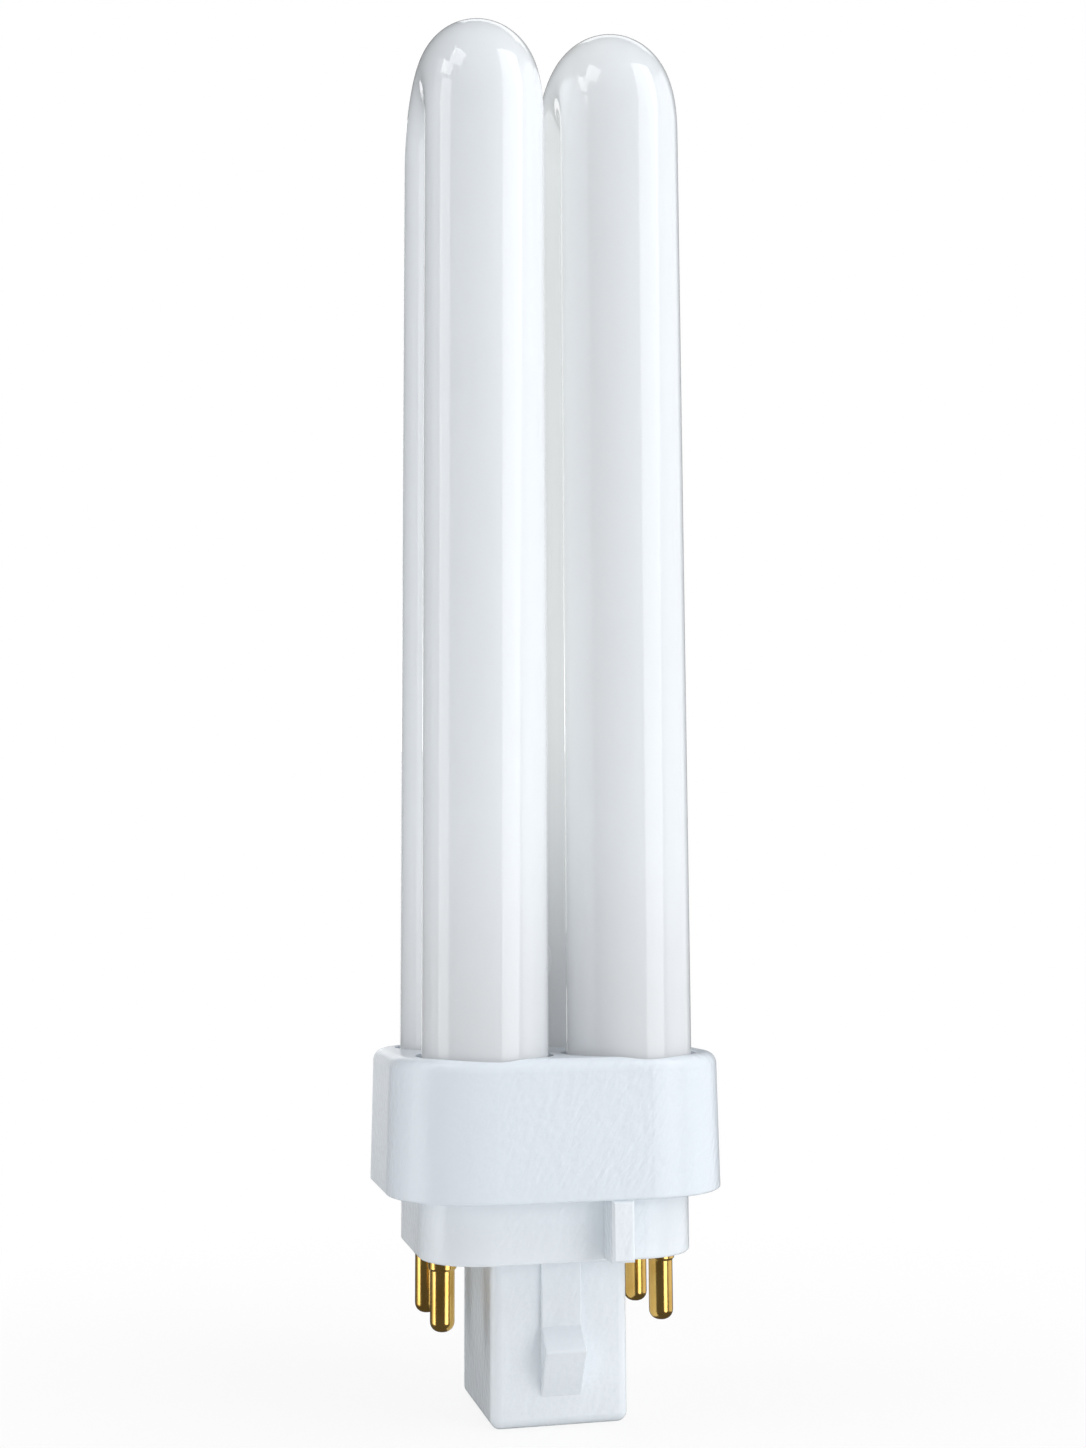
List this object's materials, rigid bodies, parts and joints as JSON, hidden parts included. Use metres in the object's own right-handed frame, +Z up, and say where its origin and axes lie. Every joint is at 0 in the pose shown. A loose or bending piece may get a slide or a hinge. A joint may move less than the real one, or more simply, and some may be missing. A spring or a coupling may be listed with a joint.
{
  "type": "double u-shaped compact fluorescent lamp with four-pin cap",
  "caption": "Compact fluorescent lamp: two U-bent coated tubes in a moulded housing, on a plug-in cap with key rib, latching post and round contact pins.",
  "frame": {"origin": "middle of the post's end face, the lowest point of the lamp as it stands in the picture", "axes": "+Z up along the tubes, X across the two U tubes, -Y the front with the key rib"},
  "size_m": [0.0336, 0.029, 0.1451],
  "materials": {
    "coated_glass": "clear glass over a white inner coating, glossy, not see-through",
    "white_plastic": "white moulded plastic, satin, very fine mould texture",
    "cap_plastic": "white moulded plastic, satin, very fine mould texture",
    "cement": "brown lamp cement, rough",
    "pin_brass": "polished brass",
    "lead_wire": "nickel-coloured wire"
  },
  "bodies": {
    "root": {"discharge_tube": "coated_glass", "upper_housing": "white_plastic", "pin_base": "cap_plastic", "tube_cement": "cement", "contact_pin_front_left": "pin_brass", "contact_pin_front_right": "pin_brass", "contact_pin_rear_left": "pin_brass", "contact_pin_rear_right": "pin_brass", "lead_wire_front_left": "lead_wire", "lead_wire_front_right": "lead_wire", "lead_wire_rear_left": "lead_wire", "lead_wire_rear_right": "lead_wire"}
  },
  "joints": []
}
